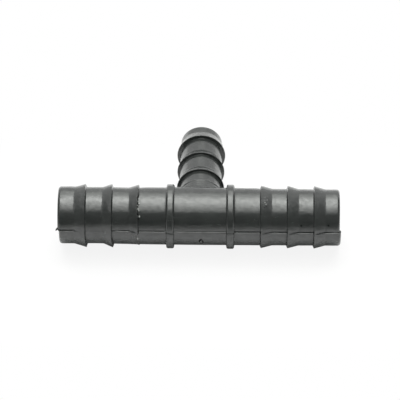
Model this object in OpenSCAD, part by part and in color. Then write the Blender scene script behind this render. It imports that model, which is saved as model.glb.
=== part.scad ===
// Barbed reducing tee for drip line, moulded in one piece.
// The run lies along X with a spigot at each end, and the smaller branch points along +Y.
// The origin is where the two axes cross, and the two halves of the mould met in the plane of both axes.

/* [Run] */
// Half of the run's length
run_reach = 42.35; // [38:0.05:60]
// Outside diameter of the run's barrel at its middle
run_barrel_d = 17.2; // [15.6:0.02:17.6]
// Outside diameter of the run's barrel at its tips
run_tip_d = 16.96; // [15.4:0.02:17.6]
// Inside diameter of the run
run_bore_d = 13.4; // [9:0.1:13.8]

/* [Run barbs] */
// Number of barbs on each end of the run
run_barb_count = 3; // [1:1:3]
// Distance from one barb to the next
run_barb_pitch = 8; // [5:0.25:10]
// Distance from the last crest to the tip of the run
run_tip_length = 7.85; // [5:0.05:10]
// Diameter over the crests
run_crest_d = 18.9; // [18:0.1:22]
// Length of each ramp, from its crest down to the barrel
run_ramp = 3.1; // [1.5:0.1:4.5]

/* [Collars] */
// Diameter of the two stop collars
collar_d = 19.4; // [18.4:0.1:24]
// Width of each collar
collar_width = 2.2; // [1.6:0.1:3]
// Radius of the collar's edges
collar_round = 0.5; // [0.1:0.05:0.7]
// Gap between the branch and each collar
collar_gap = 1.17; // [0.3:0.01:2.5]

/* [Branch] */
// Distance from the run's axis to the tip of the branch
branch_reach = 40.6; // [37:0.1:60]
// Outside diameter of the branch's barrel at its root
branch_barrel_d = 12.84; // [12:0.02:13.4]
// Outside diameter of the branch's barrel at its tip
branch_tip_d = 12.8; // [11.8:0.02:13.4]
// Inside diameter of the branch
branch_bore_d = 9.9; // [6:0.1:10.3]
// Diameter of the thicker root of the branch
branch_root_d = 13.6; // [13.4:0.1:15]
// Distance from the run's axis to the step at the end of the root
branch_root_reach = 10.5; // [9.5:0.1:11.5]

/* [Branch barbs] */
// Number of barbs on the branch, with the end barb
branch_barb_count = 3; // [1:1:3]
// Distance from one barb to the next
branch_barb_pitch = 9.25; // [5:0.25:10]
// Distance from the end barb's crest to the tip of the branch
branch_tip_length = 7.1; // [5:0.1:9]
// Diameter over the crests, apart from the end barb's
branch_crest_d = 14.5; // [14.2:0.1:17]
// Diameter over the end barb's crest
branch_end_crest_d = 14.9; // [14.2:0.1:17]
// Length of each ramp, apart from the end barb's
branch_ramp = 2.95; // [1.5:0.05:4]
// Length of the end barb's ramp
branch_end_ramp = 3.6; // [2:0.1:4.5]

/* [Edges] */
// Width of the blunt land on every crest
crest_land = 0.3; // [0.2:0.05:0.6]
// Radius of the fillet behind every barb
barb_fillet = 0.25; // [0.1:0.05:0.3]
// Radius of the outer edge at each tip
tip_round = 0.5; // [0.1:0.05:0.6]
// Width of the chamfer inside each mouth
mouth_chamfer = 0.3; // [0.1:0.05:0.4]

/* [Mould marks] */
// How far the lower half of the mould stands out along the parting line
mould_step = 0.04; // [0:0.02:0.2]
// How far one half's end stands out past the other's, on each end of the run
end_lip = 0.4; // [0.1:0.05:0.5]
// How far the flash sticks out of the run's left end
flash_reach = 0.75; // [0.3:0.05:1.5]
// Thickness of the flash
flash_thick = 0.25; // [0.1:0.05:0.5]
// Diameter of the gate scar on the front
gate_d = 1.5; // [0.8:0.1:3]
// Depth of the gate scar
gate_depth = 0.2; // [0.1:0.05:0.5]
// Distance of the gate scar from the middle of the run
gate_x = 0.4; // [-5:0.1:5]
// Angle of the gate scar below the parting line
gate_angle = 26; // [10:1:60]

/* [Torn barb] */
// Angle below the parting line, on the front, where the inner left barb has come away
torn_from = 4; // [0:1:40]
// Angle below the parting line where that barb goes on again
torn_to = 100; // [60:1:170]
// Angle above the parting line, on the front, where its crest starts to be worn
worn_from = 33; // [5:1:50]
// Angle above the parting line where the worn crest ends
worn_to = 80; // [55:1:120]
// Depth of the wear on the crest
worn_depth = 0.17; // [0.05:0.01:0.4]

/* [Hidden] */
$fn = 96;
body_color = "#3a3d3c";
arc_steps = 6;
// How far a cutter runs past the face that it cuts, and how deep a joined piece starts in its carrier
past = 1;
bore_r = run_bore_d / 2;
branch_bore_r = branch_bore_d / 2;
run_last_crest = run_reach - run_tip_length;
branch_last_crest = branch_reach - branch_tip_length;
// Each barb is [distance of its crest along the axis, crest radius, ramp length], the innermost first
run_barbs = [
    for (i = [run_barb_count - 1:-1:0])
        [run_last_crest - i * run_barb_pitch, run_crest_d / 2, run_ramp]
];
branch_barbs = [
    for (i = [branch_barb_count - 1:-1:0])
        [
            branch_last_crest - i * branch_barb_pitch,
            (i == 0 ? branch_end_crest_d : branch_crest_d) / 2,
            i == 0 ? branch_end_ramp : branch_ramp
        ]
];
intact_left_barbs = [for (i = [1:1:run_barb_count - 1]) run_barbs[i]];
torn_barb = run_barbs[0];
half_size = max(run_reach, branch_reach) + run_crest_d + flash_reach;

// Points of an arc round centre, from one angle to another
function arc(centre, r, from, to) = [
    for (i = [0:arc_steps])
        let (a = from + (to - from) * i / arc_steps)
            centre + r * [cos(a), sin(a)]
];

// Radius of a barrel that draws in from root_r on the axes' crossing to tip_r at its tip
function barrel_r(along, reach, root_r, tip_r) = root_r + (tip_r - root_r) * along / reach;

// Outline of one barb as [radius, distance] points: fillet, steep face, blunt crest and ramp
function barb_points(barb, foot_r, end_r) = concat(
    arc([foot_r + barb_fillet, barb[0] - barb_fillet], barb_fillet, 180, 90),
    [
        [barb[1], barb[0]],
        [barb[1], barb[0] + crest_land],
        [end_r, barb[0] + crest_land + barb[2]]
    ]
);

// Solid spigot along +Z: a drawn-in barrel with its barbs and a rounded tip.
// The barrel's reach sets its taper, and lip moves its end face alone.
module spigot(reach, root_r, tip_r, barbs, step, lip) {
    function r_at(along) = barrel_r(along, reach, root_r, tip_r) + step;
    rotate_extrude()
        polygon(concat(
            [[0, 0], [r_at(0), 0]],
            [
                for (b = barbs)
                    each barb_points(b, r_at(b[0]), r_at(b[0] + crest_land + b[2]))
            ],
            arc([r_at(reach) - tip_round, reach + lip - tip_round], tip_round, 0, 90),
            [[0, reach + lip]]
        ));
}

// Stop collar with rounded edges, round the Z axis and centred on it
module collar(step) {
    r = collar_d / 2 + step;
    w = collar_width / 2;
    rotate_extrude()
        polygon(concat(
            [[0, -w]],
            arc([r - collar_round, collar_round - w], collar_round, -90, 0),
            arc([r - collar_round, w - collar_round], collar_round, 0, 90),
            [[0, w]]
        ));
}

// Turns a shape from the Z axis to the X axis
module along_run() {
    rotate([0, 90, 0]) children();
}

// Turns a shape from the Z axis to the branch's axis
module along_branch() {
    rotate([-90, 0, 0]) children();
}

// The whole outside as one half of the mould would make it, without the torn barb
module skin(step, slip) {
    collar_x = branch_root_d / 2 + collar_gap + collar_width / 2;
    along_run()
        spigot(run_reach, run_barrel_d / 2, run_tip_d / 2, run_barbs, step, slip);
    mirror([1, 0, 0])
        along_run()
            spigot(run_reach, run_barrel_d / 2, run_tip_d / 2, intact_left_barbs, step, -slip);
    for (side = [-1, 1])
        translate([side * collar_x, 0, 0])
            along_run()
                collar(step);
    along_branch() {
        spigot(branch_reach, branch_barrel_d / 2, branch_tip_d / 2, branch_barbs, step, 0);
        cylinder(h = branch_root_reach, r = branch_root_d / 2 + step);
    }
}

// Half of the mould's space, above the parting plane or below it
module mould_half(above) {
    translate([-half_size, -half_size, above ? 0 : -half_size])
        cube([2 * half_size, 2 * half_size, half_size]);
}

// A stretch of the inner left barb, between two angles from the front, counted upwards.
// The wear takes the crest down and moves its steep face back to where the ramp has that height.
module barb_stretch(from, to, wear) {
    foot_r = barrel_r(torn_barb[0], run_reach, run_barrel_d / 2, run_tip_d / 2);
    end = torn_barb[0] + crest_land + torn_barb[2];
    end_r = barrel_r(end, run_reach, run_barrel_d / 2, run_tip_d / 2);
    crest_r = torn_barb[1] - wear;
    worn_back = torn_barb[2] * wear / (torn_barb[1] - end_r);
    mirror([1, 0, 0])
        along_run()
            rotate([0, 0, -90 - to])
                rotate_extrude(angle = to - from)
                    polygon([
                        [foot_r - past, torn_barb[0] + worn_back],
                        [crest_r, torn_barb[0] + worn_back],
                        [crest_r, torn_barb[0] + crest_land + worn_back],
                        [end_r, end],
                        [end_r - past, end]
                    ]);
}

// What is left of the inner left barb
module torn_barb_rest() {
    barb_stretch(-torn_from, worn_from, 0);
    barb_stretch(worn_from, worn_to, worn_depth);
    barb_stretch(worn_to, 360 - torn_to, 0);
}

// Thin fin of flash in the parting plane, over the wall at the front of the run's left end
module flash() {
    outer = run_tip_d / 2 - tip_round / 2;
    tip_y = -(outer + bore_r + outer) / 3;
    left_face = -run_reach + end_lip / 2;
    linear_extrude(height = flash_thick)
        polygon([
            [left_face + past, -outer],
            [-run_reach - end_lip / 2 - flash_reach, tip_y],
            [left_face + past, -bore_r - mouth_chamfer]
        ]);
}

// Bores of the run and the branch, each with a chamfer in its mouths
module bores() {
    run_face = run_reach - end_lip / 2;
    along_run()
        cylinder(h = 2 * (run_reach + past), r = bore_r, center = true);
    for (turn = [-90, 90])
        rotate([0, turn, 0])
            mouth(run_face, bore_r);
    along_branch() {
        cylinder(h = branch_reach + past, r = branch_bore_r);
        mouth(branch_reach, branch_bore_r);
    }
}

// Cone that chamfers a mouth whose face lies at this distance
module mouth(face, r) {
    translate([0, 0, face - mouth_chamfer])
        cylinder(h = mouth_chamfer + past, r1 = r, r2 = r + mouth_chamfer + past);
}

// Places a shape on the front of the run, pointing outwards below the parting line
module at_gate() {
    translate([gate_x, 0, 0])
        rotate([90 + gate_angle, 0, 0])
            translate([0, 0, run_barrel_d / 2 + mould_step])
                children();
}

// One moulding: both mould halves' outsides, hollowed by the bores, with the marks and the damage that it bears
module tee_body() {
    color(body_color) {
        difference() {
            union() {
                intersection() {
                    skin(0, -end_lip / 2);
                    mould_half(true);
                }
                intersection() {
                    skin(mould_step, end_lip / 2);
                    mould_half(false);
                }
                torn_barb_rest();
            }
            bores();
            at_gate()
                translate([0, 0, -gate_depth])
                    cylinder(h = gate_depth + past, d = gate_d);
        }
        at_gate()
            translate([0, 0, -gate_depth - past / 2])
                cylinder(h = gate_depth + past / 2, d = gate_d / 3);
        flash();
    }
}

tee_body();
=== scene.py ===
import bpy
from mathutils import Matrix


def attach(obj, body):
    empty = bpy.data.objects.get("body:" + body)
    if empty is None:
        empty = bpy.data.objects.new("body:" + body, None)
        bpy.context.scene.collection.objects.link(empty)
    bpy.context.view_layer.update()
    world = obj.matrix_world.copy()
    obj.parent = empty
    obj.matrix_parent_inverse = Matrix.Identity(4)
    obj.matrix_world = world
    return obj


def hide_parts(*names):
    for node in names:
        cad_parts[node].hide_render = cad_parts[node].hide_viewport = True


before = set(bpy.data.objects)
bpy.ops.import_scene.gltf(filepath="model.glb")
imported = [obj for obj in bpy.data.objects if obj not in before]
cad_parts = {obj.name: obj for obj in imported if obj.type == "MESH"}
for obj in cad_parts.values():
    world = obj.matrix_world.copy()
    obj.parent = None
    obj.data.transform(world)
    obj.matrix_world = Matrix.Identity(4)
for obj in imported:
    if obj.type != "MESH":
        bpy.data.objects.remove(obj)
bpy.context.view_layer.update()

import bmesh
import bpy
import numpy as np

# Moulding: the tee itself, three barbed spigots moulded in one shot of black polypropylene.
# The two halves of the mould met in the plane of both axes and left a step with a fine groove
# above it. The inner left barb has torn away along the front and the underside.
# Sizes in this section and the next two are millimetres, and MM turns them into metres.
MM = 0.001
run_reach, run_root_r, run_tip_r, run_bore_r, run_crest_r = 42.35, 8.6, 8.48, 6.7, 9.45
branch_reach, branch_root_r, branch_tip_r, branch_bore_r = 40.6, 6.42, 6.4, 4.95
sleeve_r, sleeve_reach, sleeve_fillet, sleeve_round = 6.8, 10.5, 0.45, 0.25
# Each barb: where its crest stands along the axis, crest radius, length of its ramp
left_barbs = [(18.5, run_crest_r, 2.75), (26.5, run_crest_r, 2.75), (34.5, run_crest_r, 3.2)]
right_barbs = [(crest, run_crest_r, 3.25) for crest in (18.5, 26.5, 34.5)]
branch_barbs = [(15.0, 7.25, 2.75), (24.25, 7.25, 2.75), (33.5, 7.45, 3.75)]
# A run barb's steep face leans by run_lean, and every crest has a flat land before its ramp
run_lean, crest_land, crest_edge, barb_fillet = 0.32, 0.08, 0.06, 0.08
tip_round, mouth_chamfer = 0.8, 0.3
collar_x, collar_r, collar_width, collar_round = 9.07, 9.69, 2.3, 0.5
collar_shift, collar_draft, collar_fillet = 0.2, 0.1, 0.06
mould_step, end_lip, seam_width = 0.04, 0.4, 0.1
# Groove and ridge of the parting line: size, height above the parting plane and width of each, and
# the share of them on most of the skin
groove_depth, groove_at, groove_width = 0.36, 0.27, 0.14
ridge_height, ridge_at, ridge_width = 0.13, -0.03, 0.08
seam_share = 0.6
# The grid: half the length of the run's middle, its cells along, points in a ring round the run,
# half the branch window's cells round the run, and points in a ring round the branch
middle_x, middle_cells, ring_count = 7.55, 32, 192
window_half = 40
branch_count = 2 * (middle_cells + 2 * window_half)


def smooth_step(t):
    """S-shaped rise from 0 to 1: three t squared less two t cubed, with t held within 0 to 1."""
    t = np.clip(t, 0.0, 1.0)
    return t * t * (3.0 - 2.0 * t)


def ripple(t, *waves):
    """Sum of sines of t, each with its own (size, turns per unit, phase)."""
    return sum(size * np.sin(turns * t + phase) for size, turns, phase in waves)


def ring_angles(count):
    """Angles of a ring's points: evenly spaced angles u less 0.41 sin 2u, which crowds the points
    at 0 and at a half turn, where the parting line runs."""
    u = 2.0 * np.pi * np.arange(count) / count
    return u - 0.41 * np.sin(2.0 * u)


def lower_half(z):
    """Share of the lower mould half at height z: 1 below the parting plane and 0 above it."""
    return 1.0 - smooth_step(z / seam_width + 0.5)


def seam(z, ridged=1.0, share=seam_share):
    """How far the skin stands out at height z: the lower half's step, a bell-shaped ridge just
    below the parting plane and a bell-shaped groove just above it, both times a share."""
    groove = groove_depth * bell(z, groove_at, groove_width)
    ridge = ridge_height * bell(z, ridge_at, ridge_width)
    return mould_step * lower_half(z) + share * (ridged * ridge - groove)


def bend(centre, radius, start, end, count=5):
    """Arc in the (along, radius) plane: centre plus radius times cosine and sine of an angle that
    goes from start to end, in degrees."""
    t = np.radians(np.linspace(start, end, count))
    return np.stack([centre[0] + radius * np.cos(t), centre[1] + radius * np.sin(t)], 1)


def straight(start, end, step):
    """Points of a line from start to end, both left out, at most step apart."""
    start, end = np.array(start), np.array(end)
    count = max(int(np.ceil(np.linalg.norm(end - start) / step)), 1)
    t = np.linspace(0.0, 1.0, count + 1)[1:-1, None]
    return (1.0 - t) * start + t * end


def corner(before, at, after, count=5):
    """Rounded corner: the parabola that leaves the first point towards the second and arrives at
    the third."""
    t = np.linspace(0.0, 1.0, count)[:, None]
    before, at, after = np.array(before), np.array(at), np.array(after)
    return (1 - t) ** 2 * before + 2 * t * (1 - t) * at + t * t * after


def barrel_radius(along, reach, root_r, tip_r):
    """Radius of a barrel that draws in evenly from root_r on the crossing to tip_r at its tip."""
    return root_r + (tip_r - root_r) * along / reach


def spigot_outline(start, reach, root_r, tip_r, bore_r, barbs, lean):
    """Outline of a spigot as (along, radius) rows, from start out over the barbs, round the tip,
    across the end face and back along the bore. Each steep face rises over lean to its crest.
    Also gives the number of rows outside."""
    def barrel(along):
        return barrel_radius(along, reach, root_r, tip_r)

    land_round, ramp_blend, foot_blend = 0.03, 0.1, 0.3
    rows = [np.array(start)[None]]
    for crest, crest_r, ramp in barbs:
        foot, face, land_end = barrel(crest), crest - lean, crest + crest_land
        ramp_end = land_end + ramp
        slope = (crest_r - barrel(ramp_end)) / ramp
        ramp_top = (land_end + ramp_blend, crest_r - ramp_blend * slope)
        ramp_foot = (ramp_end - foot_blend, barrel(ramp_end) + foot_blend * slope)
        rows += [
            straight(rows[-1][-1], (face - barb_fillet, foot), 1.0),
            bend((face - barb_fillet, foot + barb_fillet), barb_fillet, -90, 0),
            straight((face, foot + barb_fillet), (crest, crest_r - crest_edge), 0.3),
            bend((crest + crest_edge, crest_r - crest_edge), crest_edge, 180, 90),
            corner((land_end - land_round, crest_r), (land_end, crest_r), ramp_top, 3),
            straight(ramp_top, ramp_foot, 0.4),
            corner(
                ramp_foot,
                (ramp_end, barrel(ramp_end)),
                (ramp_end + foot_blend, barrel(ramp_end + foot_blend)),
            ),
        ]
    tip_r = barrel(reach)
    rows += [
        straight(rows[-1][-1], (reach - tip_round, tip_r), 0.9),
        bend((reach - tip_round, tip_r - tip_round), tip_round, 90, 0, 7),
    ]
    outside = sum(len(r) for r in rows)
    rows += [
        straight((reach, tip_r - tip_round), (reach, bore_r + mouth_chamfer), 0.5),
        np.array([(reach, bore_r + mouth_chamfer), (reach - mouth_chamfer, bore_r)]),
        straight((reach - mouth_chamfer, bore_r), (start[0], bore_r), 3.5),
        np.array([(start[0], bore_r)]),
    ]
    return np.concatenate(rows), outside


def collar_outline(start, side):
    """Outline of the stop collar as (along, radius) rows: up its inner side, over two rounded
    edges and down its outer side. Both sides spread by the draft towards the foot, and both
    collars sit a little right of their places."""
    middle = collar_x + collar_shift * side
    low, high = middle - collar_width / 2, middle + collar_width / 2
    low_foot, high_foot = low - collar_draft, high + collar_draft
    low_r, high_r = run_radius(low_foot), run_radius(high_foot)
    low_mid, high_mid, mid_r = low + collar_round, high - collar_round, collar_r - collar_round
    return np.concatenate([
        np.array([start]),
        corner(
            (low_foot - collar_fillet, low_r), (low_foot, low_r), (low_foot, low_r + collar_fillet), 3
        ),
        bend((low_mid, mid_r), collar_round, 180, 90, 6),
        straight((low_mid, collar_r), (high_mid, collar_r), 0.7),
        bend((high_mid, mid_r), collar_round, 90, 0, 6),
        corner(
            (high_foot, high_r + collar_fillet), (high_foot, high_r), (high_foot + collar_fillet, high_r), 3
        ),
    ])


def run_radius(along):
    """Radius of the run's barrel at a distance from the crossing."""
    return barrel_radius(np.abs(along), run_reach, run_root_r, run_tip_r)


def degrees_up(theta):
    """Angles in degrees, counted upwards from the front and brought to -180..180."""
    return np.degrees((theta + np.pi) % (2 * np.pi) - np.pi)


def plateau(t, start, rise, end, fall):
    """1 between start + rise and end - fall, and 0 before start and after end."""
    return smooth_step((t - start) / rise) * smooth_step((end - t) / fall)


def bell(t, middle, width):
    """Bell curve of t: e to the power of minus ((t - middle) / width) squared."""
    return np.exp(-(((t - middle) / width) ** 2))


swell_low, swell_high = 0.13, 0.2


def swell(x, theta):
    """How far the run's upper back stands out near the crossing: a low share up to the inner barbs
    and a bell between the collars, both within a window of angles round the ring."""
    far = np.abs(x)
    between = swell_high * bell(x, -3.0, 8.0) * smooth_step((9.5 - far) / 1.5)
    return plateau(degrees_up(theta), 95.0, 25.0, 175.0, 25.0) * (
        swell_low * smooth_step((18.2 - far) / 1.7) + between
    )


def seam_strength(along, side):
    """Share of the parting line's groove and ridge along an end of the run: on the left it fades
    out towards the outer barbs and comes back on the tip, and on the right it fades on the tip."""
    if side < 0:
        share = 0.9 * smooth_step((28.5 - along) / 6.0) + 1.3 * smooth_step((along - 36.5) / 2.5)
    else:
        share = 1.1 - 0.45 * smooth_step((along - 38.0) / 3.0)
    return seam_share + (share - seam_share) * smooth_step((along - 8.0) / 3.0)


def face_step(radius, tip_r, bore_r):
    """Share of the seam's step across an end face: none at the mouth and all of it at the edge."""
    mouth_r = bore_r + mouth_chamfer
    return np.clip((radius - mouth_r) / (tip_r - tip_round - mouth_r), 0.0, 1.0)


# A place between the collar and the barbs, where the tip starts and over what length it sets in
barbs_from, tip_from, tip_blend = 13.0, 37.9, 3.5
# How the left end departs from the right one: its tip flares above and behind, its two outer barbs
# stand out underneath, its lower barbs sit further in, its barrel bows up and its tip is longer
tip_flare, under_rise, lower_in, left_bow, left_longer = 0.26, 0.26, 0.35, 0.19, 0.14
wave_height, crest_wear = 0.012, 0.018


def run_end(side):
    """One end of the run, as a grid of (x, y, z) points over outline rows and ring angles, and how
    torn the plastic is there. Each outline point goes round the X axis on its radius; the lower
    half stands out by the seam's step, and the tip's two halves slip past each other by the lip.
    """
    start = collar_outline((middle_x, run_radius(middle_x)), side)
    barbs = left_barbs if side < 0 else right_barbs
    outline, outside = spigot_outline(
        start[-1], run_reach, run_root_r, run_tip_r, run_bore_r, barbs, run_lean
    )
    rows = np.concatenate([start[:-1], outline[:-1], [(middle_x, run_bore_r)]])
    outside += len(start) - 1
    along, radius = rows[:, :1], rows[:, 1:]
    inside = np.arange(len(rows))[:, None] >= outside
    theta = ring_angles(ring_count)[None]
    degrees = degrees_up(theta)
    barrel = run_radius(along)
    rise = np.clip((radius - barrel) / (run_crest_r - barrel), 0.0, 1.0)
    skin = np.where(along < barbs_from, 1.0, 1.0 - rise)
    skin = np.where(inside, face_step(radius, run_tip_r, run_bore_r), skin)
    wave = wave_height * np.sin(0.9 * along + 2 * side) * np.sin(2 * theta + 0.4 * along)
    calm = smooth_step((9.2 - radius) / 0.6) * plateau(along, 11.0, 3.0, run_reach - 1.0, 3.0)
    ridged = smooth_step((9.4 - radius) / 0.3)
    r = radius + skin * seam(radius * np.sin(theta), ridged, seam_strength(along, side))
    r = r + (calm * wave + swell(side * along, theta) * (1.0 - rise)) * ~inside
    if side < 0:
        upper_back = plateau(degrees, 72.0, 35.0, 175.0, 30.0) * smooth_step((along - 35.5) / 4.0)
        under = plateau(degrees, -120.0, 40.0, -15.0, 30.0) * (along > 24.0)
        r = r + (tip_flare * skin * upper_back + under_rise * rise * under) * ~inside
    crest = smooth_step((rise - 0.6) / 0.4) * (along > barbs_from) * ~inside
    ragged = ripple(degrees, (0.6, 0.31, side), (0.4, 0.83, 1.0 + along))
    r = r - crest * crest_wear * (1.0 + ragged)
    a = along + 0.0 * theta
    if side < 0:
        a, r, scar = tear(a, r, degrees, along, radius, inside)
    else:
        a, r, scar = scuff(a, r, degrees, along, inside)
    slip = side * end_lip / 2 * (2.0 * lower_half(radius * np.sin(theta)) - 1.0)
    on_tip = smooth_step((along - tip_from) / tip_blend)
    a = a + slip * on_tip
    height = r * np.sin(theta)
    if side < 0:
        below = plateau(along, barbs_from, 3.0, 37.5, 2.0) * plateau(degrees, -175.0, 55.0, -5.0, 55.0)
        a = a + left_longer * on_tip - lower_in * below * ~inside
        height = height + left_bow * bell(along, 31.0, 8.0)
    points = np.stack([side * a, -r * np.cos(theta), height], -1)
    return points, scar


# Where the inner left barb is torn, below the front, and where its crest is worn back, above it, in
# degrees, and how far back
torn_from, torn_to, worn_from, worn_to, worn_back = 4.0, 100.0, 33.0, 84.0, 0.26


def tear(a, r, degrees, along, radius, inside):
    """The torn inner barb, and the nicks beside it. Between two ragged angles the barb's rows are
    spread evenly along the axis and laid on the barrel, with a low ridge and streaks where the
    barb grew from it. Higher up its steep face moves back along the ramp, by a ragged depth, and
    at the back its crest leans inwards. Also gives how torn each point is."""
    ridge_rise, streak_rise, back_lean, nick_depth = 0.13, 0.05, 0.22, 0.16
    crest, crest_r, ramp = left_barbs[0]
    land_end, face = crest + crest_land, crest - run_lean - barb_fillet
    end = land_end + ramp
    of_barb = (along > face - 1e-6) & (along < end + 0.31) & ~inside
    step_rows = of_barb & (along < land_end + 0.11)
    upper = -torn_from + ripple(along, (0.9, 3.1, 0.4), (0.6, 7.3, 1.0))
    lower = -torn_to + ripple(along, (3.0, 2.3, 0.9), (1.5, 6.1, 2.0))
    gone = plateau(degrees, lower, 7.0, upper, 1.6) * of_barb
    even = along.copy()
    even[step_rows] = np.linspace(face, land_end + 0.1, int(step_rows.sum()))
    ridge = ridge_rise * bell(even, crest + 0.12, 0.16)
    ridge = ridge * (1.0 + ripple(degrees, (0.35, 0.9, 0.3), (0.3, 2.1, 1.2)))
    streaks = streak_rise * plateau(even, crest, 0.3, end, 2.4)
    streaks = streaks * (1.0 + ripple(degrees, (0.7, 1.3, 0.5)) * ripple(even, (1.0, 2.7, 0.2)))
    r = r + gone * (run_radius(even) + mould_step + ridge + streaks - r)
    a = a + gone * (even - a)
    worn = plateau(degrees, worn_from, 7.0, worn_to, 16.0)
    back = worn * worn_back * (1.0 + ripple(degrees, (0.28, 0.55, 0.0), (0.2, 1.3, 1.0)))
    moved = back * np.clip((end - along) / ramp, 0.0, 1.0) * of_barb
    a = a + moved
    slope = (crest_r - run_radius(end)) / ramp
    r = np.where(of_barb & (moved > 0), np.minimum(r, crest_r - slope * (a - land_end)), r)
    lift = bell(degrees, 118.0, 5.0) * smooth_step((r - crest_r + 0.25) / 0.2)
    a = a - back_lean * lift * step_rows
    nick = bell(degrees, 47.0, 4.0) + 0.6 * bell(degrees, 57.0, 3.0)
    near = bell(along, left_barbs[1][0] + 0.1, 0.35) * smooth_step((radius - 8.9) / 0.4)
    r = r - nick_depth * nick * near * ~inside
    edge = bell(degrees, upper - 0.5, 2.2) * of_barb * smooth_step((along - crest) / 0.2)
    bared = gone * plateau(even, crest - 0.2, 0.2, crest + 2.2, 1.6)
    tufts = worn * step_rows * (along > face + 0.1)
    return a, r, np.clip(0.9 * edge + 0.8 * bared + 0.25 * tufts, 0.0, 1.0) * ~inside


def scuff(a, r, degrees, along, inside):
    """Scuffs of the right end: a rough patch on the inner barb's ramp, and two small pits a little
    above the parting line, each a bell-shaped hollow. Also gives how torn each point is."""
    scuffed = bell(degrees, 62.0, 14.0) * bell(along, 19.5, 0.7)
    rough = ripple(degrees, (0.6, 0.9, 0.0), (0.4, 1.7, 2.0)) * np.sin(5.1 * along)
    r = r + 0.018 * scuffed * (rough - 0.5) * ~inside
    for where, depth in ((30.4, 0.09), (38.8, 0.07)):
        r = r - depth * bell(degrees, 17.5, 1.6) * bell(along, where, 0.28) * ~inside
    return a, r, 0.35 * scuffed * ~inside


def on_run(x, theta, radius):
    """Point on the run at x, at an angle counted upwards from the front, on a radius."""
    x, y, z = np.broadcast_arrays(x, -radius * np.cos(theta), radius * np.sin(theta))
    return np.stack([x, y, z], -1)


def outer_radius(x, theta):
    """Radius of the run's skin near its middle: the barrel with the seam's marks and its swell."""
    return run_radius(x) + seam(run_root_r * np.sin(theta)) + swell(x, theta)


def window_edge(columns, rings, x_of, theta_of):
    """The grid points round a rectangular window, as (x, angle) rows, starting in the middle of its
    +X side and going up. columns and rings are the window's first and last grid lines."""
    c0, c1 = columns
    r0, r1 = rings
    middle = (r0 + r1) // 2
    up, down = np.arange(middle, r0, -1), np.arange(r1, middle, -1)
    cols = np.concatenate([
        np.full(len(up), c1), np.arange(c1, c0, -1), np.full(r1 - r0, c0),
        np.arange(c0, c1), np.full(len(down), c1),
    ])
    ring = np.concatenate([
        up, np.full(c1 - c0, r0), np.arange(r0, r1), np.full(c1 - c0, r1), down,
    ])
    return np.stack([x_of[cols], theta_of[ring % ring_count]], -1)


def patch(edge, rim, count):
    """Rings that go from a window's edge to a rim, both left as (x, angle) rows, in even steps."""
    t = np.linspace(0.0, 1.0, count + 1)[:, None, None]
    return (1.0 - t) * edge + t * rim


class Shell:
    """Collects grids of points into one mesh. Grids that share an edge share its points, and
    these are joined at the end."""

    join_within, sharp_above = 0.0015, np.radians(38.0)

    def __init__(self):
        self.points, self.quads, self.scars, self.count = [], [], [], 0

    def add(self, grid, keep=None, scar=None):
        """Adds a grid of rows and columns, whose columns close into rings; keep marks the cells
        that are faces, and scar says how torn each point is."""
        rows, cols = grid.shape[:2]
        number = self.count + np.arange(rows * cols).reshape(rows, cols)
        beside = np.roll(number, -1, 1)
        quads = np.stack([number[:-1], number[1:], beside[1:], beside[:-1]], -1)
        self.quads.append(quads[keep] if keep is not None else quads.reshape(-1, 4))
        self.points.append(grid.reshape(-1, 3))
        scar = np.zeros((rows, cols)) if scar is None else scar
        self.scars.append(scar.reshape(-1))
        self.count += rows * cols

    def mesh(self, name):
        """The mesh, in metres, with its doubles joined and its faces turned outwards."""
        data = bpy.data.meshes.new(name)
        points = np.concatenate(self.points) * MM
        data.from_pydata(points, [], np.concatenate(self.quads))
        scar = data.attributes.new("scar", "FLOAT", "POINT")
        scar.data.foreach_set("value", np.concatenate(self.scars).astype(np.float32))
        work = bmesh.new()
        work.from_mesh(data)
        bmesh.ops.remove_doubles(work, verts=work.verts, dist=self.join_within * MM)
        unused = [point for point in work.verts if not point.link_faces]
        bmesh.ops.delete(work, geom=unused, context="VERTS")
        bmesh.ops.recalc_face_normals(work, faces=work.faces)
        work.to_mesh(data)
        work.free()
        data.polygons.foreach_set("use_smooth", np.ones(len(data.polygons), bool))
        data.set_sharp_from_angle(angle=self.sharp_above)
        return data


shell = Shell()
for side in (-1, 1):
    points, torn = run_end(side)
    shell.add(points, scar=torn)

# The run's middle is a grid of columns along x and rings round it, with one window on the back for
# the branch and, outside, one on the front for the gate scar.
column_x = np.linspace(-middle_x, middle_x, middle_cells + 1)
ring_theta = ring_angles(ring_count)
back_rings = (ring_count // 2 - window_half, ring_count // 2 + window_half)
gate_columns, gate_rings = (13, 21), (ring_count - 32, ring_count - 20)
cell_column = np.arange(middle_cells)[:, None]
cell_ring = np.arange(ring_count)[None]
back_cell = np.repeat((cell_ring >= back_rings[0]) & (cell_ring < back_rings[1]), middle_cells, 0)
gate_cell = (
    (cell_ring >= gate_rings[0]) & (cell_ring < gate_rings[1])
    & (cell_column >= gate_columns[0]) & (cell_column < gate_columns[1])
)
x, theta = column_x[:, None], ring_theta[None]
shell.add(on_run(x, theta, outer_radius(x, theta)), keep=~back_cell & ~gate_cell)
shell.add(on_run(x, theta, run_bore_r), keep=~back_cell)

# The branch springs from a saddle: where a tube of radius rho about Y meets the run's skin, with
# y the root of the run's radius squared less z squared. The rings of the window's edge close on it.
phi = ring_angles(branch_count)
edge = window_edge((0, middle_cells), back_rings, column_x, ring_theta)


def saddle(rho, on_skin):
    """Where the tube of radius rho about the Y axis meets the run, as (x, angle) rows."""
    x, z = rho * np.cos(phi), rho * np.sin(phi)
    radius = run_radius(x) + seam(z) if on_skin else run_bore_r
    return np.stack([x, np.pi - np.arcsin(z / radius)], -1)


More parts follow.
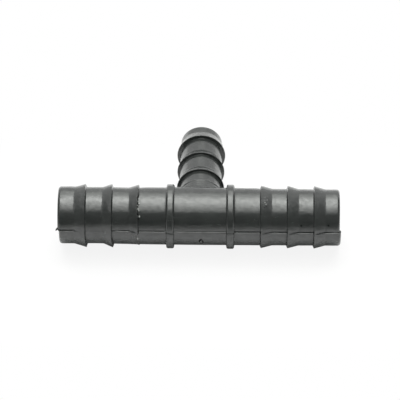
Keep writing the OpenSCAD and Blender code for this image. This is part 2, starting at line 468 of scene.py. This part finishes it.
rim = saddle(sleeve_r + sleeve_fillet, True)
rings = patch(edge, rim, 6)
outer = on_run(rings[..., 0], rings[..., 1], outer_radius(rings[..., 0], rings[..., 1]))
shell.add(outer)
inner_rim = saddle(branch_bore_r, False)
inner_rings = patch(edge, inner_rim, 6)
inner = on_run(inner_rings[..., 0], inner_rings[..., 1], run_bore_r)
shell.add(inner)

# Outside of the branch: a fillet, the thicker sleeve up to its shoulder, then the barbed barrel. The
# seam goes on along the branch, so its lower half stands out there too.
sleeve_z = sleeve_r * np.sin(phi)
sleeve_rho = sleeve_r + seam(sleeve_z)
sleeve_x, sleeve_theta = sleeve_r * np.cos(phi), np.pi - np.arcsin(sleeve_z / run_root_r)
foot_r = run_radius(sleeve_x) + seam(sleeve_z) + swell(sleeve_x, sleeve_theta)
foot_y = np.sqrt(foot_r ** 2 - sleeve_z ** 2)


def round_branch(rho, y):
    """Points round the branch: rho along the ring's cosine and sine, and y along the axis."""
    x, y, z = np.broadcast_arrays(rho * np.cos(phi), y, rho * np.sin(phi))
    return np.stack([x, y, z], -1)


fillet_foot = round_branch(sleeve_rho, foot_y)
fillet_top = round_branch(sleeve_rho, foot_y + sleeve_fillet)
t = np.linspace(0.0, 1.0, 7)[:, None, None]
fillet = (1 - t) ** 2 * outer[-1] + 2 * t * (1 - t) * fillet_foot + t * t * fillet_top
# Turning marks on the sleeve: their height and pitch, and the lip before the shoulder: its height,
# distance from the run's axis and width
turning_height, turning_pitch = 0.02, 1.05
lip_height, lip_at, lip_width = 0.09, 9.9, 0.17
shoulder_r = barrel_radius(sleeve_reach, branch_reach, branch_root_r, branch_tip_r)
t = np.linspace(0.0, 1.0, 20)[1:-1, None]
sleeve_end = sleeve_reach - sleeve_round
sleeve_y = (1 - t) * (foot_y + sleeve_fillet) + t * sleeve_end
turned = turning_height * np.sin(2.0 * np.pi * sleeve_y / turning_pitch) * plateau(t, 0.0, 0.25, 1.0, 0.25)
turned = turned + lip_height * bell(sleeve_y, lip_at, lip_width)
sleeve = round_branch(sleeve_rho[None] + turned, sleeve_y)
shoulder_foot = (sleeve_reach + 0.12, shoulder_r)
shoulder = np.concatenate([
    bend((sleeve_end, sleeve_r - sleeve_round), sleeve_round, 90, 0, 6),
    corner((sleeve_reach, shoulder_r + 0.1), (sleeve_reach, shoulder_r), shoulder_foot, 4),
])
outline, outside = spigot_outline(
    shoulder[-1], branch_reach, branch_root_r, branch_tip_r, branch_bore_r, branch_barbs, 0.0
)
rows = np.concatenate([shoulder[:-1], outline])
outside += len(shoulder) - 1
along, radius = rows[:, :1], rows[:, 1:]
inside = np.arange(len(rows))[:, None] >= outside
barrel = barrel_radius(along, branch_reach, branch_root_r, branch_tip_r)
branch_barbs_from, end_barb_from, branch_wear = 12.0, 30.0, 0.015
crest_r = np.where(along > end_barb_from, branch_barbs[2][1], branch_barbs[0][1])
rise = np.clip((radius - barrel) / (crest_r - barrel), 0.0, 1.0)
skin = np.where(along < branch_barbs_from, 1.0, 1.0 - rise)
skin = np.where(inside, face_step(radius, branch_tip_r, branch_bore_r), skin)
crest = smooth_step((rise - 0.6) / 0.4) * (along > branch_barbs_from) * ~inside
ragged = ripple(np.degrees(phi)[None], (0.6, 0.37, 0.4), (0.4, 0.71, 1.0)) * np.cos(along)
rho = radius + skin * seam(radius * np.sin(phi)) - crest * branch_wear * (1.0 + ragged)
saddle_y = np.sqrt(run_bore_r ** 2 - (branch_bore_r * np.sin(phi)) ** 2)
bore_share = np.clip((branch_reach - along) / (branch_reach - shoulder[-1][0]), 0.0, 1.0)
bore_y = along + bore_share * (saddle_y - shoulder[-1][0])
y = np.where(inside & (along < branch_reach - mouth_chamfer + 1e-6), bore_y, along + 0 * phi)
barbed = round_branch(rho, y)
shell.add(np.concatenate([fillet, sleeve, barbed[:-1], inner[-1:]]))

# Gate scar: a shallow dimple on the front with the broken stub of the gate in its middle. Rings
# close on it from its window, and its depth is a function of the distance from its centre.
gate_x, gate_theta, gate_r = 0.45, -np.radians(25.5), 0.75
gate_wide, gate_tall = 0.85, 1.3
edge = window_edge(gate_columns, gate_rings, column_x, ring_theta - 2 * np.pi)
turn = np.arctan2((edge[:, 1] - gate_theta) * run_root_r / gate_tall, (edge[:, 0] - gate_x) / gate_wide)
# Each ring of the scar: its share of gate_r, and its height over the skin
scar_rings = np.array([
    (1.0, 0.0), (0.98, 0.0), (0.95, -0.02), (0.9, -0.09), (0.85, -0.15), (0.8, -0.18), (0.76, -0.2),
    (0.72, -0.16), (0.69, -0.06), (0.65, 0.0), (0.6, 0.05), (0.5, 0.11), (0.4, 0.15), (0.25, 0.17),
    (0.1, 0.16), (0.0, 0.17),
])
reach, height = scar_rings[:, :1] * gate_r, scar_rings[:, 1:]
x = gate_x + gate_wide * reach * np.cos(turn)
theta = gate_theta + gate_tall * reach * np.sin(turn) / run_root_r
rim = np.stack([x[0], theta[0]], -1)
rings = patch(edge, rim, 5)
skin_r = outer_radius(rings[..., 0], rings[..., 1])
shell.add(on_run(rings[..., 0], rings[..., 1], skin_r))
ragged = 0.03 * np.sin(3 * turn + 1.0) * bell(reach, 0.25, 0.12)
radius = outer_radius(x, theta) + height + ragged
stub = bell(reach, 0.0, 0.3) + 0 * turn
shell.add(on_run(x, theta, radius), scar=0.7 * stub)

moulding = bpy.data.objects.new("tee_moulding", shell.mesh("tee_moulding"))
bpy.context.scene.collection.objects.link(moulding)

# Colours: the plastic's darkest and palest clouds, torn plastic, a bared fleck, and the near black of the
# painted pit shade
plastic_base = (0.0425, 0.0465, 0.045, 1.0)
plastic_cloud = (0.053, 0.0575, 0.0555, 1.0)
torn_base = (0.22, 0.226, 0.22, 1.0)
fleck_base = (0.62, 0.64, 0.62, 1.0)
painted_pit_shade = (0.006, 0.007, 0.0065, 1.0)


def material(name):
    """A new material with an empty node tree, and its Principled shader on the output."""
    made = bpy.data.materials.new(name)
    made.use_nodes = True
    tree = made.node_tree
    tree.nodes.clear()
    out = tree.nodes.new("ShaderNodeOutputMaterial")
    shader = tree.nodes.new("ShaderNodeBsdfPrincipled")
    tree.links.new(shader.outputs["BSDF"], out.inputs["Surface"])
    return made, tree, shader


def node(tree, kind, **values):
    """A node of that kind, with its properties and its inputs set by name."""
    made = tree.nodes.new(kind)
    for key, value in values.items():
        if hasattr(made, key):
            setattr(made, key, value)
        else:
            made.inputs[key.replace("_", " ")].default_value = value
    return made


def noise(tree, vector, scale, detail=2.0, rough=0.5):
    """Noise of about one patch per 1/scale metres, as a value."""
    made = node(tree, "ShaderNodeTexNoise", Scale=scale, Detail=detail, Roughness=rough)
    tree.links.new(vector, made.inputs["Vector"])
    return made.outputs["Fac"]


def level(tree, value, low, high, to_low, to_high):
    """A value brought from low..high to to_low..to_high, and held there."""
    made = node(tree, "ShaderNodeMapRange")
    tree.links.new(value, made.inputs["Value"])
    for key, number in zip(("From Min", "From Max", "To Min", "To Max"), (low, high, to_low, to_high)):
        made.inputs[key].default_value = number
    return made.outputs["Result"]


def blend(tree, share, first, second):
    """A colour that goes from first to second with share. Either may be a socket or a colour."""
    made = node(tree, "ShaderNodeMix", data_type="RGBA")
    tree.links.new(share, made.inputs["Factor"])
    for socket, colour in ((made.inputs[6], first), (made.inputs[7], second)):
        if isinstance(colour, bpy.types.NodeSocket):
            tree.links.new(colour, socket)
        else:
            socket.default_value = colour
    return made.outputs[2]


def combine(tree, operation, first, second):
    """Two values, sockets or numbers, put together by a Math node."""
    made = node(tree, "ShaderNodeMath", operation=operation)
    for socket, value in zip(made.inputs, (first, second)):
        if isinstance(value, bpy.types.NodeSocket):
            tree.links.new(value, socket)
        else:
            socket.default_value = value
    return made.outputs["Value"]


def near_spots(tree, vector, spots, out):
    """1 on any of the spots, given as (x, angle on the run in degrees, size) in millimetres, and 0
    beyond them: each spot is a ball at a distance out from the run's axis, its edge bent by noise."""
    bent = combine(tree, "MULTIPLY", noise(tree, vector, 5200.0, 1.0), 0.9)
    bent = combine(tree, "ADD", bent, 0.55)
    found = 0.0
    for x, angle, size in spots:
        away = node(tree, "ShaderNodeVectorMath", operation="DISTANCE")
        tree.links.new(vector, away.inputs[0])
        away.inputs[1].default_value = tuple(on_run(x, np.radians(angle), out) * MM)
        far = combine(tree, "DIVIDE", away.outputs["Value"], size * MM)
        far = combine(tree, "MULTIPLY", far, bent)
        found = combine(tree, "MAXIMUM", found, level(tree, far, 0.9, 1.05, 1.0, 0.0))
    return found


# Flecks of bared plastic along the torn barb, on the nicks beside it and on the scuffed barb, and
# the painted shade of the pits by them, each as x, angle up from the front in degrees and size
flecks = [
    (-18.5, -18.0, 0.5), (-27.0, 55.0, 0.26), (-27.05, 49.5, 0.24),
    (20.3, 69.0, 0.17), (19.6, 62.5, 0.16), (19.95, 59.0, 0.14), (19.3, 66.0, 0.14),
]
pit_shade_spots = [
    (-18.45, 72.0, 0.4), (-18.35, 66.6, 0.36), (-18.4, 53.0, 0.42), (-18.25, 40.5, 0.42),
    (-18.45, 36.5, 0.34), (-18.05, 28.5, 0.4), (20.0, 55.0, 0.2), (19.4, 52.0, 0.2),
]
# Painted shade: the dark arch of the groove round the gate's stub, and the two pits of the right end, given
# alike
low_pit_shade_spots = [
    (0.1, -24.3, 0.3), (0.2, -21.8, 0.32), (0.48, -19.5, 0.34), (0.82, -21.2, 0.26),
    (1.05, -27.0, 0.24), (1.15, -31.0, 0.34), (0.1, -29.0, 0.26), (0.35, -34.5, 0.28),
    (30.5, 16.9, 0.26), (38.7, 17.9, 0.24),
]
# How far from the run's axis the flecks and the painted pit shade are, and the low painted pit shade
spots_out, low_pit_shade_out = 9.1, 8.5
# Bump heights in metres: the skin's waves, blotches, flow lines and grain, and the torn fibres
wave_bump, blotch_bump, flow_bump, grain_bump, torn_bump = 4.5e-5, 5.5e-5, 8e-6, 2.6e-6, 4e-5

plastic, tree, shader = material("moulded_plastic")
place = node(tree, "ShaderNodeTexCoord").outputs["Object"]
along_flow = node(tree, "ShaderNodeMapping", Scale=(0.12, 1.0, 1.0))
tree.links.new(place, along_flow.inputs["Vector"])
clouds = noise(tree, place, 170.0, 3.0)
flow = noise(tree, along_flow.outputs["Vector"], 1400.0, 2.0)
grain = noise(tree, place, 4200.0, 2.0)
waves = noise(tree, place, 120.0, 1.0)
specks = level(tree, noise(tree, place, 2600.0, 1.0), 0.52, 0.66, 0.0, 1.0)
torn = node(tree, "ShaderNodeAttribute", attribute_name="scar").outputs["Fac"]
torn_specks = combine(tree, "MULTIPLY", torn, specks)
cloudy = blend(tree, level(tree, clouds, 0.35, 0.65, 0.0, 1.0), plastic_base, plastic_cloud)
flecked = near_spots(tree, place, flecks, spots_out)
# Painted shade: near black spots on the pits and round the gate's stub, where their hollows fall dark
painted_shade = near_spots(tree, place, pit_shade_spots, spots_out)
painted_shade = combine(tree, "MAXIMUM", painted_shade, near_spots(tree, place, low_pit_shade_spots, low_pit_shade_out))
worn_colour = blend(tree, torn_specks, cloudy, torn_base)
# The painted shade is laid on as a near black colour over the plastic
worn_colour = blend(tree, painted_shade, worn_colour, painted_pit_shade)
tree.links.new(blend(tree, flecked, worn_colour, fleck_base), shader.inputs["Base Color"])
# Gloss is taken off the flecks and off the painted shade
lustre = combine(tree, "SUBTRACT", 1.0, combine(tree, "MAXIMUM", flecked, painted_shade))
blotches = noise(tree, place, 760.0, 2.5)
lustre = combine(tree, "MULTIPLY", lustre, level(tree, blotches, 0.3, 0.7, 0.4, 0.6))
tree.links.new(lustre, shader.inputs["Specular IOR Level"])
roughness = combine(tree, "MULTIPLY", torn, 0.25)
for pattern, low, high, least, most in (
    (clouds, 0.3, 0.7, 0.16, 0.22), (grain, 0.3, 0.7, -0.03, 0.04), (flow, 0.4, 0.7, -0.01, 0.05),
):
    roughness = combine(tree, "ADD", roughness, level(tree, pattern, low, high, least, most))
tree.links.new(roughness, shader.inputs["Roughness"])
shader.inputs["IOR"].default_value = 1.75
height = 0.0
for pattern, size in (
    (waves, wave_bump), (blotches, blotch_bump), (flow, flow_bump), (grain, grain_bump),
    (torn_specks, torn_bump),
):
    height = combine(tree, "ADD", height, combine(tree, "MULTIPLY", pattern, size))
relief = node(tree, "ShaderNodeBump", Strength=1.0, Distance=1.0)
tree.links.new(height, relief.inputs["Height"])
tree.links.new(relief.outputs["Normal"], shader.inputs["Normal"])
moulding.data.materials.append(plastic)
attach(moulding, "root")
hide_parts("tee_body")

# Flash: a thin fin of plastic that ran out between the mould halves at the left mouth. It grew in
# one shot with the moulding, stands over the wall's end face and thins to a point.
# Its widths and thicknesses are those at its root and at its tip.
fin_root, fin_tip = np.array([-42.2, -7.7, 1.1]), np.array([-43.25, -7.9, -0.1])
fin_width, fin_thick, fin_tilt = (0.35, 0.12), (0.42, 0.34), np.radians(22.0)


def fin_surface(rows, count):
    """The fin as rings along a line from root to tip: each ring is an ellipse across the line, with
    the width and thickness as its half axes, tilted about the line. Both ends close to a point, by
    the square root of 1 less the twelfth power of the way from the middle to an end."""
    t = np.linspace(0.0, 1.0, rows)[:, None]
    closing = np.sqrt(np.clip(1.0 - (2.0 * t - 1.0) ** 12, 0.0, 1.0))
    turn = 2.0 * np.pi * np.arange(count)[None] / count
    width = (fin_width[0] + (fin_width[1] - fin_width[0]) * t ** 0.8) * closing
    thick = (fin_thick[0] + (fin_thick[1] - fin_thick[0]) * t) * closing
    middle = (1 - t[..., None]) * fin_root + t[..., None] * fin_tip
    wavy = 0.05 * np.sin(7.0 * t) * t
    flat, tall = width * np.cos(turn), thick * np.sin(turn) + wavy
    offset = np.stack([
        0 * flat, flat * np.cos(fin_tilt) + tall * np.sin(fin_tilt),
        tall * np.cos(fin_tilt) - flat * np.sin(fin_tilt),
    ], -1)
    return middle + offset


fin_shell = Shell()
fin_shell.add(fin_surface(18, 20))
fin = bpy.data.objects.new("flash_fin", fin_shell.mesh("flash_fin"))
bpy.context.scene.collection.objects.link(fin)
fin.data.materials.append(plastic)
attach(fin, "root")

# Shreds: crumbs of plastic that hang on the torn barb's edge, whitened where they were stretched.
# They are what the tear left of the moulding and still grow from it.
# Each shred: x, angle up from the front in degrees, radius it sits on, half its length
shreds = [
    (-18.38, 62.6, 9.2, 0.24), (-18.15, 59.0, 9.05, 0.2), (-18.42, 47.4, 9.2, 0.3),
    (-18.2, 44.6, 9.05, 0.22), (-18.0, 33.2, 8.75, 0.26), (-18.5, -3.5, 8.8, 0.18),
    (-18.75, 66.5, 9.3, 0.12), (-18.6, 53.5, 9.25, 0.14),
]


def crumb(x, angle, radius, half):
    """A crumb of plastic: a ball squeezed to three quarters across and 0.6 in height, whose size
    waves with sines of its two angles, set on the run at x, an angle and a radius."""
    along = np.linspace(0.0, np.pi, 11)[:, None]
    turn = 2.0 * np.pi * np.arange(16)[None] / 16
    lumps = 0.22 * np.sin(3.0 * turn + 9.0 * x) * np.sin(along) + 0.1 * np.sin(5.0 * along + angle)
    size = half * (1.0 + lumps)
    ahead = size * np.cos(along) + 0.0 * turn
    across = 0.75 * size * np.sin(along) * np.cos(turn)
    out = 0.6 * size * np.sin(along) * np.sin(turn)
    theta = np.radians(angle) + ahead / radius
    return on_run(x + across, theta, radius + out)


crumbs = Shell()
for shred in shreds:
    crumbs.add(crumb(*shred))
shred_piece = bpy.data.objects.new("torn_shreds", crumbs.mesh("torn_shreds"))
bpy.context.scene.collection.objects.link(shred_piece)
stretched_grey, stretched_white = (0.4, 0.42, 0.4, 1.0), (0.68, 0.7, 0.68, 1.0)
whitened, tree, shader = material("whitened_plastic")
fresh = noise(tree, node(tree, "ShaderNodeTexCoord").outputs["Object"], 3000.0, 1.0)
fresh = level(tree, fresh, 0.35, 0.65, 0.0, 1.0)
tree.links.new(blend(tree, fresh, stretched_grey, stretched_white), shader.inputs["Base Color"])
shader.inputs["Roughness"].default_value = 0.55
shred_piece.data.materials.append(whitened)
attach(shred_piece, "root")

# Floor: plain pale matt board. The tee stands on both collars and on the end barb of its branch,
# so in the tee's own frame the floor slopes up by 3.9 degrees towards the back. What the camera
# and the gloss see of it is whitened by these shares, and the shadow stays in the rest. From here
# on, sizes are metres.
floor_height, floor_slope, floor_half = -0.009763, 0.069, 3.0
camera_whitening = 0.88
# Share of white that the gloss sees: below the run, beside it, and behind the tee
gloss_below, gloss_beside, gloss_behind = 0.05, 0.9, 0.45


def board(name, corners, colour):
    """A flat matt board between four corners. Gives the board, its node tree
    and its shader."""
    data = bpy.data.meshes.new(name)
    data.from_pydata([tuple(c) for c in corners], [], [(0, 1, 2, 3)])
    piece = bpy.data.objects.new(name, data)
    bpy.context.scene.collection.objects.link(piece)
    made, tree, shader = material(name)
    shader.inputs["Base Color"].default_value = (*colour, 1.0)
    shader.inputs["Roughness"].default_value = 0.9
    shader.inputs["Specular IOR Level"].default_value = 0.0
    data.materials.append(made)
    return piece, tree, shader


def seen_rays(tree, camera_share, gloss_share):
    """A share for rays of the camera, another for those of a gloss or a glass, 0 for any other."""
    path = node(tree, "ShaderNodeLightPath").outputs
    gloss = combine(tree, "MAXIMUM", path["Is Glossy Ray"], path["Is Transmission Ray"])
    gloss = combine(tree, "MULTIPLY", gloss, gloss_share)
    return combine(tree, "MAXIMUM", combine(tree, "MULTIPLY", path["Is Camera Ray"], camera_share), gloss)


def beside(tree, across, near, far):
    """0 within near of the line where across is 0, rising to 1 at far, on both sides of it."""
    return level(tree, combine(tree, "ABSOLUTE", across, 0.0), near, far, 0.0, 1.0)


def flat_corners(left, right, front, back, over=0.0):
    """Corners of a rectangle that lies on the floor, or over it."""
    low, high = (floor_height + floor_slope * y + over for y in (front, back))
    return [(left, front, low), (right, front, low), (right, back, high), (left, back, high)]


floor, tree, shader = board(
    "floor", flat_corners(-floor_half, floor_half, -floor_half, floor_half), (0.86, 0.86, 0.86)
)
white = node(tree, "ShaderNodeEmission", Color=(1.0, 1.0, 1.0, 1.0), Strength=1.0)
mixed = node(tree, "ShaderNodeMixShader")
across = node(tree, "ShaderNodeSeparateXYZ")
tree.links.new(node(tree, "ShaderNodeTexCoord").outputs["Object"], across.inputs[0])
off_run = beside(tree, across.outputs["Y"], 0.0065, 0.0128)
behind = level(tree, across.outputs["Y"], 0.0, 0.02, 0.0, 1.0)
open_floor = combine(tree, "SUBTRACT", off_run, behind)
away = beside(tree, across.outputs["Y"], 0.012, 0.05)
away = combine(tree, "MAXIMUM", away, beside(tree, across.outputs["X"], 0.045, 0.08))
white_share = level(tree, away, 0.0, 1.0, camera_whitening, 1.0)
gloss_share = level(tree, open_floor, 0.0, 1.0, gloss_below, gloss_beside)
gloss_share = combine(tree, "MAXIMUM", gloss_share, combine(tree, "MULTIPLY", behind, gloss_behind))
tree.links.new(seen_rays(tree, white_share, gloss_share), mixed.inputs[0])
tree.links.new(shader.outputs["BSDF"], mixed.inputs[1])
tree.links.new(white.outputs["Emission"], mixed.inputs[2])
output = next(n for n in tree.nodes if n.type == "OUTPUT_MATERIAL")
tree.links.new(mixed.outputs["Shader"], output.inputs["Surface"])

# Cards: black and grey boards in front, overhead in front and on both sides, and a grey sheet on
# the table in front, which keep the room's light off the tee's front, as photographers set them.
# The camera doesn't see them.
card_left, card_right, card_front, card_back = -0.9, 0.9, -1.7, 0.9
card_foot, card_top, left_top, right_top, top_back = -0.12, 2.2, 1.2, 1.45, -0.5
sheet_back, sheet_over = -0.05, 0.001
card_black, card_grey, table_grey = (0.03, 0.03, 0.03), (0.33, 0.33, 0.33), (0.45, 0.45, 0.45)


def side_corners(x, top):
    """Corners of an upright card at x, from the front card back, up to its top."""
    front, back = (x, card_front), (x, card_back)
    return [(*front, card_foot), (*back, card_foot), (*back, top), (*front, top)]


# Each card: its corners, the colour of its first part, the axis along which the colour changes, from
# where to where, and the colour of its last part
cards = {
    "front_card": ([(card_left, card_front, card_foot), (card_right, card_front, card_foot),
                    (card_right, card_front, card_top), (card_left, card_front, card_top)],
                   card_black, "Z", 0.3, 1.8, card_grey),
    "top_card": ([(card_left, card_front, card_top), (card_right, card_front, card_top),
                  (card_right, top_back, card_top), (card_left, top_back, card_top)],
                 card_black, "Z", 0.0, 1.0, card_black),
    "left_card": (side_corners(card_left, left_top), card_grey, "Y", -0.45, -0.15, card_black),
    "right_card": (side_corners(card_right, right_top), card_grey, "Y", -0.45, -0.15, card_black),
    "table_sheet": (flat_corners(card_left, card_right, card_front, sheet_back, sheet_over),
                    table_grey, "Y", -1.0, -0.5, table_grey),
}
for name, (corners, first, axis, start, end, last) in cards.items():
    card, tree, shader = board(name, corners, first)
    where = node(tree, "ShaderNodeSeparateXYZ")
    tree.links.new(node(tree, "ShaderNodeTexCoord").outputs["Object"], where.inputs[0])
    share = level(tree, where.outputs[axis], start, end, 0.0, 1.0)
    tree.links.new(blend(tree, share, (*first, 1.0), (*last, 1.0)), shader.inputs["Base Color"])
    card.visible_camera = False

# Light: one long soft box above the tee, brightest a little behind it, whose light fades towards
# both ends as through sheets of diffusion. It has a black back, and a white room is round it.
box_width, box_front, box_back, box_height = 0.6, -0.95, 1.5, 1.0
# Brightness of its core, where the core is and its half width, and brightness of the sheet round it
box_core, box_core_at, box_core_half, box_sheet = 3.1, 0.16, 0.38, 2.05
box_lamp = bpy.data.lights.new("soft_box", "AREA")
box_lamp.shape, box_lamp.size, box_lamp.size_y = "RECTANGLE", box_width, box_back - box_front
box_lamp.energy = np.pi * box_width * (box_back - box_front)
box_lamp.color = (0.98, 1.0, 0.97)
box_lamp.use_nodes = True
tree = box_lamp.node_tree
glow = next(n for n in tree.nodes if n.type == "EMISSION")
spot = node(tree, "ShaderNodeSeparateXYZ")
tree.links.new(node(tree, "ShaderNodeNewGeometry").outputs["Position"], spot.inputs[0])
across_box = spot.outputs["Y"]
from_core = combine(tree, "DIVIDE", combine(tree, "SUBTRACT", across_box, box_core_at), box_core_half)
from_core = combine(tree, "MULTIPLY", from_core, from_core)
core = combine(tree, "POWER", np.e, combine(tree, "MULTIPLY", from_core, -1.0))
front_fade = level(tree, across_box, -0.92, -0.5, 0.0, 1.0)
back_fade = level(tree, across_box, 0.85, 1.5, 1.0, 0.5)
sheet = combine(tree, "MULTIPLY", combine(tree, "MULTIPLY", front_fade, back_fade), box_sheet)
# The lamp's strength is a bell over the core on top of the sheet, which fades at both ends
strength = combine(tree, "ADD", combine(tree, "MULTIPLY", core, box_core), sheet)
tree.links.new(strength, glow.inputs["Strength"])
soft_box = bpy.data.objects.new("soft_box", box_lamp)
soft_box.location = (0.0, (box_front + box_back) / 2, box_height)
bpy.context.scene.collection.objects.link(soft_box)
box_half, box_top = box_width / 2, box_height + 0.005
housing, tree, shader = board("soft_box_back", [
    (-box_half, box_front, box_top), (-box_half, box_back, box_top),
    (box_half, box_back, box_top), (box_half, box_front, box_top),
], (0.02, 0.02, 0.02))
housing.visible_camera = False

# Wash: a wide lamp that lights the board behind the tee and nothing else, flagged off the tee.
wash_lamp = bpy.data.lights.new("floor_wash", "AREA")
wash_lamp.shape, wash_lamp.size, wash_lamp.size_y, wash_lamp.energy = "RECTANGLE", 1.6, 0.8, 10.0
floor_wash = bpy.data.objects.new("floor_wash", wash_lamp)
floor_wash.location = (0.0, 0.5, 0.8)
bpy.context.scene.collection.objects.link(floor_wash)
washed = bpy.data.collections.new("washed_by_light")
washed.objects.link(floor)
floor_wash.light_linking.receiver_collection = washed
floor_wash.visible_glossy = False
floor_wash.visible_camera = False

# Room: white walls round the set, which the camera sees at full white and the tee a little dimmer.
room_fill, room_in_gloss = 0.7, 0.35
world = bpy.data.worlds.new("white_room")
bpy.context.scene.world = world
world.use_nodes = True
tree = world.node_tree
tree.nodes.clear()
fill = node(tree, "ShaderNodeBackground", Color=(1.0, 1.0, 1.0, 1.0), Strength=room_fill)
white = node(tree, "ShaderNodeBackground", Color=(1.0, 1.0, 1.0, 1.0), Strength=1.0)
either_one = node(tree, "ShaderNodeMixShader")
tree.links.new(seen_rays(tree, 1.0, room_in_gloss), either_one.inputs[0])
tree.links.new(fill.outputs["Background"], either_one.inputs[1])
tree.links.new(white.outputs["Background"], either_one.inputs[2])
sky = node(tree, "ShaderNodeOutputWorld")
tree.links.new(either_one.outputs["Shader"], sky.inputs["Surface"])

# Camera: a long lens, looking down on the run from the front and a little from the right.
eye_elevation, eye_yaw, eye_distance = np.radians(34.45), np.radians(0.85), 0.9
eye_back = np.array([
    np.sin(eye_yaw) * np.cos(eye_elevation),
    -np.cos(eye_yaw) * np.cos(eye_elevation),
    np.sin(eye_elevation),
])
lens = bpy.data.cameras.new("camera")
lens.sensor_width, lens.lens = 36.0, 267.8
lens.shift_x, lens.shift_y = 0.0006, 0.041
lens.clip_start, lens.clip_end = 0.05, 20.0
camera = bpy.data.objects.new("camera", lens)
camera.location = eye_back * eye_distance
camera.rotation_euler = (np.pi / 2 - eye_elevation, 0.0, eye_yaw)
bpy.context.scene.collection.objects.link(camera)
bpy.context.scene.camera = camera
bpy.context.scene.view_settings.view_transform = "Standard"
